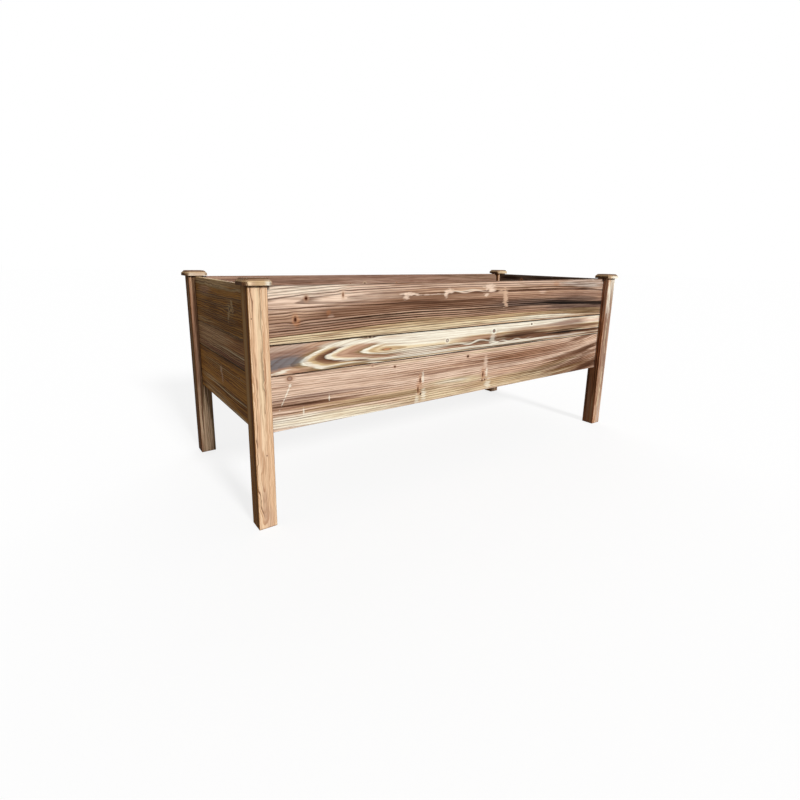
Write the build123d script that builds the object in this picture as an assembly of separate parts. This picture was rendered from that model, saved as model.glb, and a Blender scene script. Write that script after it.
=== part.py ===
from build123d import *
import os

# Raised planter: charred softwood boards slid into four grooved legs, with a slatted floor.
# Millimetres. Origin on the ground under the middle, X along the length, -Y to the front, Z up.

# Whole planter: length and width over the posts, height over the caps
length = 1829.0
width = 770.0
height = 767.0

# Posts
post_side = 58.0
post_lip = 15.0
groove_web = 3.0
post_edge = 1.5

# Wall boards
board_thickness = 19.0
bottom_face = 176.0
middle_face = 94.0
top_face = 175.0
board_edge = 1.5
tongue_thickness = 6.0
tongue_height = 7.0

# Post caps and the dowels that hold them
cap_overhang = 14.0
cap_thickness = 20.0
cap_bevel = 10.0
cap_clip = 13.0
cap_lift = 3.0
dowel_diameter = 10.0
dowel_in_post = 25.0
dowel_in_cap = 12.0

# Floor and the battens that tie the long walls
cleat_side = 38.0
cleat_raise = 6.0
slat_width = 114.0
slat_thickness = 19.0
least_slat_gap = 6.0
batten_width = 89.0
batten_thickness = 19.0
batten_drop = 75.0

# Screws
head_diameter = 8.0
head_height = 3.5
shank_diameter = 4.5
tip_height = 5.0
cleat_bite = 25.0
board_bite = 12.0
gaps_per_cleat_screw = 3

# Clearances
board_fit = 0.25
board_end_room = 0.8
tongue_fit = 0.25
tongue_end_room = 0.8
dowel_fit = 0.1
dowel_end_room = 1.0
floor_room = 2.0
cleat_end_room = 0.5
screw_fit = 0.1
screw_end_room = 1.0

# Places that follow from the sizes
half_length = length / 2
half_width = width / 2
groove_depth = post_lip - groove_web
board_setback = post_side - post_lip - board_thickness
inner_setback = board_setback + board_thickness
post_height = height - cap_thickness
wall_top = post_height - cap_lift
ground_clearance = wall_top - top_face - middle_face - bottom_face
board_bottoms = {
    "bottom": ground_clearance,
    "middle": ground_clearance + bottom_face,
    "top": wall_top - top_face,
}
board_faces = {"bottom": bottom_face, "middle": middle_face, "top": top_face}
cleat_bottom = ground_clearance + cleat_raise
slat_bottom = cleat_bottom + cleat_side
slat_top = slat_bottom + slat_thickness
batten_top = wall_top - batten_drop
inner_half_length = half_length - inner_setback
inner_half_width = half_width - inner_setback
cleat_centre_z = cleat_bottom + cleat_side / 2

corners = {"front_left": (-1, -1), "front_right": (1, -1), "back_left": (-1, 1), "back_right": (1, 1)}


def block(low, high):
    size = [b - a for a, b in zip(low, high)]
    middle = [(a + b) / 2 for a, b in zip(low, high)]
    return Pos(*middle) * Box(*size)


def to_corner(shape, signs):
    # The front left corner is the pattern, and the other three are its mirror images
    if signs[0] > 0:
        shape = mirror(shape, Plane.YZ)
    if signs[1] > 0:
        shape = mirror(shape, Plane.XZ)
    return shape


def facing(point, outward):
    return Plane(origin=point, z_dir=outward).location


# Posts, caps and dowels
def post_centre():
    return (-half_length + post_side / 2, -half_width + post_side / 2)


def dowel_bore(depth):
    return Cylinder(dowel_diameter / 2 + dowel_fit, 2 * (depth + dowel_end_room))


def make_post():
    x, y = post_centre()
    post = Pos(x, y, post_height / 2) * Box(post_side, post_side, post_height)
    post = chamfer(post.edges().filter_by(Axis.Z), post_edge)
    west = -half_length
    south = -half_width
    near = board_setback - board_fit
    far = inner_setback + board_fit
    floor = post_side - groove_depth
    long_wall_groove = block(
        (west + floor, south + near, ground_clearance), (west + post_side, south + far, post_height)
    )
    end_wall_groove = block(
        (west + near, south + floor, ground_clearance), (west + far, south + post_side, post_height)
    )
    return post - long_wall_groove - end_wall_groove - Pos(x, y, post_height) * dowel_bore(dowel_in_post)


def make_cap():
    x, y = post_centre()
    side = post_side + 2 * cap_overhang
    outline = chamfer(Rectangle(side, side).vertices(), cap_clip)
    cap = extrude(outline, cap_thickness)
    cap = chamfer(cap.faces().sort_by(Axis.Z)[-1].edges(), cap_bevel)
    return Pos(x, y, post_height) * (cap - dowel_bore(dowel_in_cap))


def make_dowel():
    x, y = post_centre()
    middle = post_height + (dowel_in_cap - dowel_in_post) / 2
    return Pos(x, y, middle) * Cylinder(dowel_diameter / 2, dowel_in_cap + dowel_in_post)


# Wall boards
def board_section(level):
    # Drawn with the outer face at zero depth and the board's lower edge at zero height
    face = board_faces[level]
    middle = board_thickness / 2
    tongue = tongue_thickness / 2
    groove = tongue + tongue_fit
    groove_height = tongue_height + tongue_end_room
    outline = [(board_edge, 0)]
    if level != "bottom":
        outline += [(middle - groove, 0), (middle - groove, groove_height)]
        outline += [(middle + groove, groove_height), (middle + groove, 0)]
    outline += [(board_thickness, 0), (board_thickness, face)]
    if level != "top":
        outline += [(middle + tongue, face), (middle + tongue, face + tongue_height)]
        outline += [(middle - tongue, face + tongue_height), (middle - tongue, face)]
    outline += [(board_edge, face), (0, face - board_edge), (0, board_edge)]
    return make_face(Polyline(*outline, close=True))


def make_front_board(level):
    reach = half_length - post_side + groove_depth - board_end_room
    start = (-reach, -half_width + board_setback, board_bottoms[level])
    plane = Plane(origin=start, x_dir=(0, 1, 0), z_dir=(1, 0, 0))
    return extrude(plane * board_section(level), 2 * reach)


def make_left_board(level):
    reach = half_width - post_side + groove_depth - board_end_room
    start = (-half_length + board_setback, reach, board_bottoms[level])
    plane = Plane(origin=start, x_dir=(1, 0, 0), z_dir=(0, -1, 0))
    return extrude(plane * board_section(level), 2 * reach)


# Floor
def slat_spaces():
    span = 2 * (half_length - post_side - floor_room)
    count = int((span + least_slat_gap) // (slat_width + least_slat_gap))
    step = (span - slat_width) / (count - 1)
    return [-span / 2 + slat_width / 2 + i * step for i in range(count)]


slat_centres = slat_spaces()
gap_centres = [(a + b) / 2 for a, b in zip(slat_centres, slat_centres[1:])]


def make_slat(x):
    reach = inner_half_width - floor_room
    return block((x - slat_width / 2, -reach, slat_bottom), (x + slat_width / 2, reach, slat_top))


def make_front_cleat():
    reach = half_length - post_side - cleat_end_room
    y = -inner_half_width
    return block((-reach, y, cleat_bottom), (reach, y + cleat_side, slat_bottom))


def make_left_cleat():
    reach = inner_half_width - cleat_side - cleat_end_room
    x = -inner_half_length
    return block((x, -reach, cleat_bottom), (x + cleat_side, reach, slat_bottom))


def make_front_batten():
    y = -inner_half_width
    return block((-batten_width / 2, y, slat_top), (batten_width / 2, y + batten_thickness, batten_top))


# Screws, each drawn head up with the top of its head at the origin
def screw(reach, grow=0.0, room=0.0):
    head = head_diameter / 2 + grow
    shank = shank_diameter / 2 + grow
    tip = -reach - room
    outline = [(0, 0), (head, 0), (shank, -head_height), (shank, tip + tip_height), (0, tip)]
    profile = make_face(Polyline(*outline, close=True))
    return revolve(Plane.XZ * profile, Axis.Z)


def screws_at(places, reach):
    pattern = screw(reach)
    return [place * pattern for place in places]


def drilled(shape, places, reach):
    bore = screw(reach, screw_fit, screw_end_room)
    for place in places:
        shape = shape - place * bore
    return shape


slat_screw_reach = slat_thickness + cleat_bite
cleat_screw_reach = cleat_side + board_bite
batten_screw_reach = batten_thickness + board_bite


def slat_screw_places(x, side):
    y = side * (inner_half_width - cleat_side / 2)
    return [Pos(x + offset, y, slat_top) for offset in (-slat_width / 4, slat_width / 4)]


def long_cleat_screw_places(side):
    # Under the gaps between slats, clear of the slat screws
    y = side * (inner_half_width - cleat_side)
    picked = gap_centres[::gaps_per_cleat_screw]
    return [facing((x, y, cleat_centre_z), (0, -side, 0)) for x in picked]


def end_cleat_screw_places(side):
    x = side * (inner_half_length - cleat_side)
    spread = 2 * (inner_half_width - cleat_side) / 3
    return [facing((x, y, cleat_centre_z), (-side, 0, 0)) for y in (-spread, 0, spread)]


def batten_screw_places(side, level):
    # A pair through the middle of the stretch where batten and board meet
    low = max(board_bottoms[level], slat_top)
    high = min(board_bottoms[level] + board_faces[level], batten_top)
    y = side * (inner_half_width - batten_thickness)
    places = []
    for x in (-batten_width / 4, batten_width / 4):
        places.append(facing((x, y, (low + high) / 2), (0, -side, 0)))
    return places


def long_wall_boards(name, side):
    boards = {}
    for level in board_faces:
        board = make_front_board(level)
        if side > 0:
            board = mirror(board, Plane.XZ)
        board = drilled(board, batten_screw_places(side, level), batten_screw_reach)
        if level == "bottom":
            board = drilled(board, long_cleat_screw_places(side), cleat_screw_reach)
        boards[f"{name}_board_{level}"] = board
    return boards


def end_wall_boards(name, side):
    boards = {}
    for level in board_faces:
        board = make_left_board(level)
        if side > 0:
            board = mirror(board, Plane.YZ)
        if level == "bottom":
            board = drilled(board, end_cleat_screw_places(side), cleat_screw_reach)
        boards[f"{name}_board_{level}"] = board
    return boards


def floor_cleats():
    cleats = {}
    for name, side in (("front", -1), ("back", 1)):
        cleat = make_front_cleat()
        if side > 0:
            cleat = mirror(cleat, Plane.XZ)
        cleat = drilled(cleat, long_cleat_screw_places(side), cleat_screw_reach)
        for x in slat_centres:
            cleat = drilled(cleat, slat_screw_places(x, side), slat_screw_reach)
        cleats[f"floor_cleat_{name}"] = cleat
    for name, side in (("left", -1), ("right", 1)):
        cleat = make_left_cleat()
        if side > 0:
            cleat = mirror(cleat, Plane.YZ)
        cleats[f"floor_cleat_{name}"] = drilled(cleat, end_cleat_screw_places(side), cleat_screw_reach)
    return cleats


def floor_slats():
    slats = {}
    for number, x in enumerate(slat_centres, 1):
        slat = make_slat(x)
        for side in (-1, 1):
            slat = drilled(slat, slat_screw_places(x, side), slat_screw_reach)
        slats[f"floor_slat_{number:02d}"] = slat
    return slats


def centre_battens():
    battens = {}
    for name, side in (("front", -1), ("back", 1)):
        batten = make_front_batten()
        if side > 0:
            batten = mirror(batten, Plane.XZ)
        for level in board_faces:
            batten = drilled(batten, batten_screw_places(side, level), batten_screw_reach)
        battens[f"centre_batten_{name}"] = batten
    return battens


def screw_groups():
    slat_places = []
    cleat_places = []
    batten_places = []
    for side in (-1, 1):
        for x in slat_centres:
            slat_places += slat_screw_places(x, side)
        cleat_places += long_cleat_screw_places(side)
        cleat_places += end_cleat_screw_places(side)
        for level in board_faces:
            batten_places += batten_screw_places(side, level)
    return {
        "slat_screws": Compound(children=screws_at(slat_places, slat_screw_reach)),
        "cleat_screws": Compound(children=screws_at(cleat_places, cleat_screw_reach)),
        "batten_screws": Compound(children=screws_at(batten_places, batten_screw_reach)),
    }


nodes = {}
for corner, signs in corners.items():
    nodes[f"post_{corner}"] = to_corner(make_post(), signs)
    nodes[f"cap_{corner}"] = to_corner(make_cap(), signs)
nodes["cap_dowels"] = Compound(children=[to_corner(make_dowel(), signs) for signs in corners.values()])
nodes.update(long_wall_boards("front", -1))
nodes.update(long_wall_boards("back", 1))
nodes.update(end_wall_boards("left_end", -1))
nodes.update(end_wall_boards("right_end", 1))
nodes.update(floor_cleats())
nodes.update(floor_slats())
nodes.update(centre_battens())
nodes.update(screw_groups())

os.makedirs("parts", exist_ok=True)
for name, shape in nodes.items():
    export_step(shape, f"parts/{name}.step")
print(len(nodes), "nodes")
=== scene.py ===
import math
import random
import bmesh
import bpy
from mathutils import Matrix, Vector


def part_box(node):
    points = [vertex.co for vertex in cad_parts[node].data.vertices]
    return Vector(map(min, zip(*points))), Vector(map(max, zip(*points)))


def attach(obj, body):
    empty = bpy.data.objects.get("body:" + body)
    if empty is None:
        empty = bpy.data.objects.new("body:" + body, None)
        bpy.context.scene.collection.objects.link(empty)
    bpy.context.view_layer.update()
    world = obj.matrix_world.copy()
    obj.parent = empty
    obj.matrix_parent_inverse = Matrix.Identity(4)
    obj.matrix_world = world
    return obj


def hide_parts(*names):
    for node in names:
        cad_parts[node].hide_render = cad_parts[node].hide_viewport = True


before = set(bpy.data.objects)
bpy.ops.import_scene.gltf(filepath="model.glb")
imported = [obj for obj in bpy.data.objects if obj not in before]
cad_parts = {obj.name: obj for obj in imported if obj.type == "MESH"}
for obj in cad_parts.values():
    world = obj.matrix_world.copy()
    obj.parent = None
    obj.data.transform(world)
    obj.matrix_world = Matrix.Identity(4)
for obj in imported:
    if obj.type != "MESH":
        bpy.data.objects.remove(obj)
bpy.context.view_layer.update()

mm = 0.001
near = 0.01 * mm
print("frame loaded:", len(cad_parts), "nodes")


def paint(red, green, blue):
    # screen values from 0 to 255, as linear colour
    channels = []
    for value in (red, green, blue):
        share = value / 255
        channels.append(share / 12.92 if share <= 0.04045 else ((share + 0.055) / 1.055) ** 2.4)
    return (*channels, 1.0)


# tones of torched and brushed softwood
cream = paint(252, 247, 228)
sap = paint(235, 216, 178)
straw = paint(211, 182, 138)
peach = paint(246, 216, 180)
wheat = paint(232, 194, 156)
amber = paint(170, 120, 66)
honey = paint(160, 110, 52)
ochre = paint(190, 137, 72)
olive = paint(128, 92, 50)
drab = paint(151, 127, 92)
blush = paint(242, 215, 192)
tan = paint(212, 177, 149)
clay = paint(182, 143, 117)
mauve = paint(158, 129, 114)
ash = paint(210, 195, 181)
slate = paint(112, 114, 119)
umber = paint(132, 95, 72)
smoke = paint(116, 94, 84)
bark = paint(92, 62, 44)
char = paint(36, 27, 22)
rust = paint(200, 140, 98)
mahogany = paint(164, 102, 60)
resin = paint(70, 36, 22)


class Wire:
    def __init__(self, tree, socket=None):
        self.tree = tree
        self.socket = socket

    def node(self, kind, inputs, output=0, **settings):
        made = self.tree.nodes.new("ShaderNode" + kind)
        for name, value in settings.items():
            if name == "stops":
                fillRamp(made.color_ramp, value)
            else:
                setattr(made, name, value)
        for name, value in inputs.items():
            if isinstance(value, Wire):
                value.into(made, name)
            else:
                made.inputs[name].default_value = value
        return Wire(self.tree, made.outputs[output])

    def into(self, node, name):
        self.tree.links.new(self.socket, node.inputs[name])

    def part(self, output):
        return Wire(self.tree, self.socket.node.outputs[output])

    def math(self, operation, *others):
        return self.node("Math", dict(enumerate((self, *others))), operation=operation)

    def __add__(self, other):
        return self.math("ADD", other)

    def __sub__(self, other):
        return self.math("SUBTRACT", other)

    def __rsub__(self, other):
        return self.node("Math", {0: other, 1: self}, operation="SUBTRACT")

    def __mul__(self, other):
        return self.math("MULTIPLY", other)

    def __truediv__(self, other):
        return self.math("DIVIDE", other)

    def join(self, *parts):
        return self.node("CombineXYZ", dict(enumerate(parts)))

    def fit(self, scale, shift):
        # a vector scaled and moved, part by part
        return self.node("VectorMath", {0: self, 1: scale, 2: shift}, operation="MULTIPLY_ADD")

    def away(self, place, size):
        # how far a spot lies from a place, counted in sizes
        scale = [1 / value for value in size]
        shift = [-value / half for value, half in zip(place, size)]
        spot = self.fit((*scale, 0), (*shift, 0))
        return self.node("VectorMath", {0: spot}, "Value", operation="LENGTH")

    def ease(self, start, end, top=1.0):
        # 0 at start and top at end, whichever is larger
        return self.node("MapRange", {0: self, 1: start, 2: end, 4: top}, interpolation_type="SMOOTHSTEP")

    def toward(self, share, colour, how="MIX"):
        return self.node("Mix", {0: share, 6: self, 7: colour}, 2, data_type="RGBA", blend_type=how)


def fillRamp(ramp, stops):
    while len(ramp.elements) < len(stops):
        ramp.elements.new(1.0)
    for element, (spot, colour) in zip(ramp.elements, stops):
        element.position = spot
        element.color = colour


def newMaterial(name):
    material = bpy.data.materials.new(name)
    material.use_nodes = True
    return material, Wire(material.node_tree)


# How far the grain has risen at a place along a stick
def bowAt(look, along):
    return sum(bend * max(side * (along - edge), 0) ** 2 for edge, side, bend in look["bows"])


# One finish for every stick of wood. Places and sizes in a look are millimetres in the planter's frame:
# strokes: tone, along, across, half length, half width, strength
# ripples: the same, then height and length of the wave
# tears: the same as strokes, then lean, if any
# knots: along, across, half length, half width, tones of core, rim and halo, strength of the halo
# burns: the same as strokes, on the latewood lines alone
# flanks: the same as strokes, placed by depth, for the sides of a stick
# seams and ends: place across or along, half width, tone, strength
# layers: depth from, depth to, tone, strength
# lines: gap, tone and strength of the latewood lines
def woodFinish(name, look):
    material, start = newMaterial(name)
    shader = start.tree.nodes["Principled BSDF"]
    seed = look["seed"]
    place = start.node("TexCoord", {}, "Object")
    place = start.node("VectorMath", {0: place, "Scale": 1000.0}, operation="SCALE")
    sides = start.node("SeparateXYZ", {0: place})
    along, across, depth = [sides.part(side) for side in look["grain"]]
    if "pitch" in look:
        # sticks side by side share the finish, each from another stretch of it
        first, step = look["pitch"]
        stickNumber = ((across - first) / step).math("FLOOR")
        across = across - stickNumber * step
        chance = start.node("TexWhiteNoise", {"W": stickNumber}, noise_dimensions="1D")
        along = along + (chance - 0.5) * look["shuffle"]
    stick = start.join(along, across, depth)

    def streak(length, breadth, detail=2.0, shift=0.0):
        spot = stick.fit((1 / length, 1 / breadth, 1 / breadth), (seed + shift, seed * 1.7, shift * 0.6))
        return start.node("TexNoise", {"Vector": spot, "Scale": 1.0, "Detail": detail})

    # growth rings around a heart that may rise and fall, pushed aside by the knots
    flow = across
    for edge, side, bend in look["bows"]:
        run = ((along - edge) * side).math("MAXIMUM", 0.0)
        flow = flow - run * run * bend
    bent = flow
    for alongAt, acrossAt, halfLength, halfWidth, *rest in look["knots"]:
        closeBy = stick.away((alongAt, acrossAt), (halfLength * 7, halfWidth * 3.2)).ease(1.0, 0.0, -0.5)
        bent = closeBy.math("MULTIPLY_ADD", across - acrossAt, bent)
    wander = (streak(420.0, 60.0) - 0.5) * look["wander"]
    if look["waver"]:
        wander = wander + (streak(48.0, 22.0, 2.0, 13.0) - 0.5) * look["waver"]
    below = look["below"]
    if "fold" in look:
        # the lower arms of the rings spread where they close
        foldFrom, foldTo, belowThere = look["fold"]
        below = along.ease(foldFrom, foldTo, below - belowThere) + belowThere
    off = bent + wander - look["heart"]
    off = off.math("MAXIMUM", 0.0) * look["above"] - off.math("MINIMUM", 0.0) * below
    openLeft, openRight = look["open"]
    run = look["eye"] - along
    left = run.math("MAXIMUM", 0.0) * openLeft
    right = (0.0 - run).math("MAXIMUM", 0.0) * openRight
    deep = left + right.math("MINIMUM", look["closeRight"]) + (depth - look["face"]) * 0.6 + look["shallow"]
    deep = deep.math("MAXIMUM", 1.0)
    point = look["point"]
    ring = (off.math("POWER", point) + deep.math("POWER", point)).math("POWER", 1 / point)

    # thin dark latewood lines, each with its own strength
    lineGap, lineTone, lineDepth = look["lines"]
    count = ring / lineGap + (streak(900.0, 26.0, 2.0, 6.0) - 0.5) * 1.2
    index = count.math("FLOOR")
    phase = count - index
    ownTone = start.node("TexWhiteNoise", {"W": index + seed}, noise_dimensions="1D")
    late = phase.ease(0.4, 0.84) * phase.ease(1.0, 0.93) * (ownTone * 0.5 + 0.5)
    late = late * streak(420.0, 34.0, 2.0, 3.0).ease(0.15, 0.5)
    seared = phase.ease(0.3, 0.58) * phase.ease(1.0, 0.92)

    # base tone, banded by ring
    fray = streak(130.0, 7.0, 3.0, 5.0) - 0.5
    sweep = streak(480.0, 30.0, 2.0, 8.0) - 0.5
    if "ringStops" in look:
        low, high = look["ringStops"][0][0], look["ringStops"][-1][0]
        stops = [((spot - low) / (high - low), tone) for spot, tone in look["ringStops"]]
        share = (ring + fray * look["ringFray"] - low) / (high - low)
        colour = start.node("ValToRGB", {0: share}, stops=stops)
    else:
        early, second = look["woods"]
        colour = start.node("Mix", {0: ownTone, 6: early, 7: second}, 2, data_type="RGBA")
    for ringAt, halfWidth, tone, strength in look["marks"]:
        gap = (ring + fray * 2.0 - ringAt).math("ABSOLUTE")
        colour = colour.toward(gap.ease(halfWidth, halfWidth * 0.4, strength), tone)
    stagger = (ownTone - 0.5) * look["stagger"] + sweep * 2.0 * look["stagger"]
    brush = start.join(along, flow + stagger)
    combed = start.join(along + (ownTone - 0.5) * look["comb"], flow + stagger)
    edge = fray * look["fray"]

    def reach(canvas, spot, size, strength, outer=1.35, inner=0.55):
        return (canvas.away(spot, size) + edge).ease(outer, inner, strength)

    for tone, alongAt, acrossAt, *size, strength in look["strokes"]:
        spot = (alongAt, acrossAt - bowAt(look, alongAt))
        colour = colour.toward(reach(combed if size[0] > 110 else brush, spot, size, strength), tone)

    # seams along edges and ends across the grain: joint lines and soot, with painted shade where boards meet
    # the posts, under the caps and on the left faces of posts and caps, and one pale seam as a painted
    # highlight on the left end's top edge
    for axis, kind, rough, inner in ((across, "seams", 0.4, 0.45), (along, "ends", 0.8, 0.3)):
        for spot, half, tone, strength in look[kind]:
            gap = (axis - spot).math("ABSOLUTE") + fray * half * rough
            colour = colour.toward(gap.ease(half, half * inner, strength), tone)
    # layers by depth: the caps' darker top, the back's inner face tone and, on the right end's inner face,
    # painted shade
    for depthFrom, depthTo, tone, strength in look["layers"]:
        colour = colour.toward((depth + fray * 2.0).ease(depthFrom, depthTo, strength), tone)
    flank = start.join(along, depth)
    for tone, alongAt, depthAt, *size, strength in look["flanks"]:
        colour = colour.toward(reach(flank, (alongAt, depthAt), size, strength), tone)

    # lines, then fibres coarse and fine
    colour = colour.toward(late * lineDepth, lineTone, "MULTIPLY")
    for tone, alongAt, acrossAt, *size, strength in look["burns"]:
        spot = (alongAt, acrossAt - bowAt(look, alongAt))
        colour = colour.toward(reach(brush, spot, size, strength) * seared, tone, "MULTIPLY")
    bristle = streak(170.0, 4.2, 2.0, 9.0)
    colour = colour.toward(bristle.ease(0.47, 0.68, look["bristle"]), umber, "MULTIPLY")
    fibre = streak(45.0, 1.5, 3.0, 2.0)
    colour = colour.toward(fibre.ease(0.4, 0.75, look["fibre"]), clay, "MULTIPLY")

    # wavy pale lines and torn patches of bare wood
    for tone, alongAt, acrossAt, *size, strength, height, wave in look["ripples"]:
        swing = ((along - alongAt) * (2 * math.pi / wave) + sweep * 4.0).math("SINE")
        spot = start.join(along, across - swing * height)
        colour = colour.toward(reach(spot, (alongAt, acrossAt), size, strength, 1.5, 0.3), tone)
    torn = start.node("Value", {})
    torn.socket.default_value = 0.0
    ragged = streak(24.0, 4.4, 4.0, 4.0) - 0.5
    for tone, alongAt, acrossAt, halfLength, halfWidth, strength, *lean in look["tears"]:
        spot = start.join(along - (across - acrossAt) * sum(lean), across)
        gap = spot.away((alongAt, acrossAt), (halfLength, halfWidth)) + ragged * 3.2
        patch = gap.ease(1.3, 0.5, strength)
        colour = colour.toward(patch, tone)
        torn = torn.math("MAXIMUM", patch)

    # knots: halo, rim and core
    for alongAt, acrossAt, halfLength, halfWidth, core, rim, halo, strength in look["knots"]:
        gap = stick.away((alongAt, acrossAt), (halfLength, halfWidth)) + ragged * 0.4
        colour = colour.toward(gap.ease(2.6, 0.9, strength), halo)
        colour = colour.toward(gap.ease(1.3, 0.85, 0.85), rim)
        colour = colour.toward(gap.ease(0.8, 0.45), core)

    height = late * 0.6 + fibre * 0.35 + streak(300.0, 12.0, 2.0, 11.0) * 0.5 - torn * 0.9
    bump = start.node("Bump", {"Strength": 0.5, "Distance": 0.0012, "Height": height}, "Normal")
    colour.into(shader, "Base Color")
    (0.86 - late * 0.2 - fibre * 0.15).into(shader, "Roughness")
    bump.into(shader, "Normal")
    shader.inputs["Specular IOR Level"].default_value = 0.03
    return material


plainLook = {
    "grain": "XZY", "seed": 1, "heart": 200, "above": 1, "below": 1, "point": 2, "wander": 16, "bows": [],
    "eye": 0, "open": (0, 0), "closeRight": 400, "shallow": 50, "face": 0, "lines": (7, umber, 0.85),
    "woods": (tan, blush), "stagger": 9, "comb": 160, "waver": 0, "fray": 0.8, "bristle": 0.5, "fibre": 0.5,
    "marks": [], "strokes": [], "ripples": [], "burns": [], "tears": [], "knots": [], "seams": [], "ends": [],
    "layers": [], "flanks": [],
}


def lookOf(shared=plainLook, **changes):
    return {**plainLook, **shared, **changes}


# Modelling helpers: everything is deselected first, then picked by place or normal
def deselect():
    bpy.ops.object.select_all(action="DESELECT")


def pickOnly(piece):
    deselect()
    piece.select_set(True)
    bpy.context.view_layer.objects.active = piece


def startBlock(name, low, high):
    deselect()
    bpy.ops.mesh.primitive_cube_add(size=1.0, location=(low + high) / 2, scale=high - low)
    piece = bpy.context.object
    piece.name = name
    bpy.ops.object.transform_apply(location=True, rotation=True, scale=True)
    return piece


def editMode(piece):
    pickOnly(piece)
    bpy.ops.object.mode_set(mode="EDIT")


def objectMode():
    bpy.ops.object.mode_set(mode="OBJECT")


def pickAll(kind, action="SELECT"):
    bpy.ops.mesh.select_mode(type=kind)
    bpy.ops.mesh.select_all(action=action)


def pickFaces(piece, test):
    pickAll("FACE", "DESELECT")
    mesh = bmesh.from_edit_mesh(piece.data)
    for face in mesh.faces:
        face.select_set(test(face.calc_center_median(), face.normal))
    bmesh.update_edit_mesh(piece.data)


def pickEdges(piece, test):
    pickAll("EDGE", "DESELECT")
    mesh = bmesh.from_edit_mesh(piece.data)
    for edge in mesh.edges:
        a, b = edge.verts[0].co, edge.verts[1].co
        edge.select_set(test((a + b) / 2, (b - a).normalized()))
    bmesh.update_edit_mesh(piece.data)


def push(x, y, z):
    bpy.ops.mesh.extrude_region_move(TRANSFORM_OT_translate={"value": (x, y, z)})


def easeEdges(size, segments):
    bpy.ops.mesh.bevel(offset=size, segments=segments, affect="EDGES")


def cutAt(axis, places):
    normal = Vector((0, 0, 0))
    normal[axis] = 1.0
    for spot in places:
        bpy.ops.mesh.select_all(action="SELECT")
        bpy.ops.mesh.bisect(plane_co=normal * spot, plane_no=normal)


def cutEvenly(axis, low, high, step):
    count = max(1, round((high - low) / step))
    cutAt(axis, [low + (high - low) * i / count for i in range(1, count)])


def brushRelief(piece, grainAxis, shape, shift):
    # long low ridges that run with the grain, as a wire brush leaves them
    height, length, breadth = shape["relief"]
    texture = bpy.data.textures.new("brushMarks", "CLOUDS")
    texture.noise_scale = 1.0
    texture.noise_depth = 2
    guide = bpy.data.objects.new("grainGuide", None)
    bpy.context.collection.objects.link(guide)
    guide.scale = [breadth] * 3
    guide.scale[grainAxis] = length
    guide.location = (shift, shift * 0.7, shift * 0.3)
    bpy.context.view_layer.update()
    modifier = piece.modifiers.new("brushMarks", "DISPLACE")
    modifier.texture = texture
    modifier.texture_coords = "OBJECT"
    modifier.texture_coords_object = guide
    modifier.strength = height
    pickOnly(piece)
    bpy.ops.object.modifier_apply(modifier=modifier.name)
    bpy.data.objects.remove(guide)
    bpy.data.textures.remove(texture)


def settle(piece, node, material):
    pickOnly(piece)
    bpy.ops.object.shade_smooth_by_angle(angle=math.radians(35))
    evenNormals = piece.modifiers.new("evenNormals", "WEIGHTED_NORMAL")
    evenNormals.keep_sharp = True
    bpy.ops.object.modifier_apply(modifier=evenNormals.name)
    piece.data.materials.clear()
    piece.data.materials.append(material)
    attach(piece, "root")
    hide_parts(node)


# Wall boards. Relief is the height, length and breadth of the brush marks
boardShape = {
    "tongueHeight": 7 * mm, "tongueThick": 6 * mm, "grooveDeep": 7.8 * mm, "grooveThick": 6.5 * mm,
    "edgeEase": 2.0 * mm, "cutAlong": 30 * mm, "cutAcross": 4.2 * mm,
    "relief": (0.9 * mm, 260 * mm, 9 * mm),
}


def makeBoard(node, run, level, shift):
    # run is the axis along the board: 0 for the long walls, 1 for the ends
    shape = boardShape
    thick = 1 - run
    low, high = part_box(node)
    if level != "top":
        high.z -= shape["tongueHeight"]
    piece = startBlock(node + "_wood", low, high)
    middle = (low[thick] + high[thick]) / 2

    def strip(width):
        cutAt(thick, [middle - width / 2, middle + width / 2])
        return lambda c: abs(c[thick] - middle) < width / 2

    def longEdge(c, d, z):
        outer = min(abs(c[thick] - low[thick]), abs(c[thick] - high[thick])) < near
        return abs(d[run]) > 0.99 and outer and abs(c.z - z) < near

    editMode(piece)
    if level != "top":
        inTongue = strip(shape["tongueThick"])
        pickFaces(piece, lambda c, n: n.z > 0.9 and inTongue(c))
        push(0, 0, shape["tongueHeight"])
    if level != "bottom":
        inGroove = strip(shape["grooveThick"])
        pickFaces(piece, lambda c, n: n.z < -0.9 and inGroove(c) and c.z < low.z + 1 * mm)
        push(0, 0, shape["grooveDeep"])
    for z in (high.z, low.z):
        pickEdges(piece, lambda c, d: longEdge(c, d, z))
        easeEdges(shape["edgeEase"], 3)
    cutEvenly(run, low[run], high[run], shape["cutAlong"])
    cutEvenly(2, low.z + shape["edgeEase"], high.z - shape["edgeEase"], shape["cutAcross"])
    objectMode()
    brushRelief(piece, run, shape, shift)
    return piece


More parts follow.
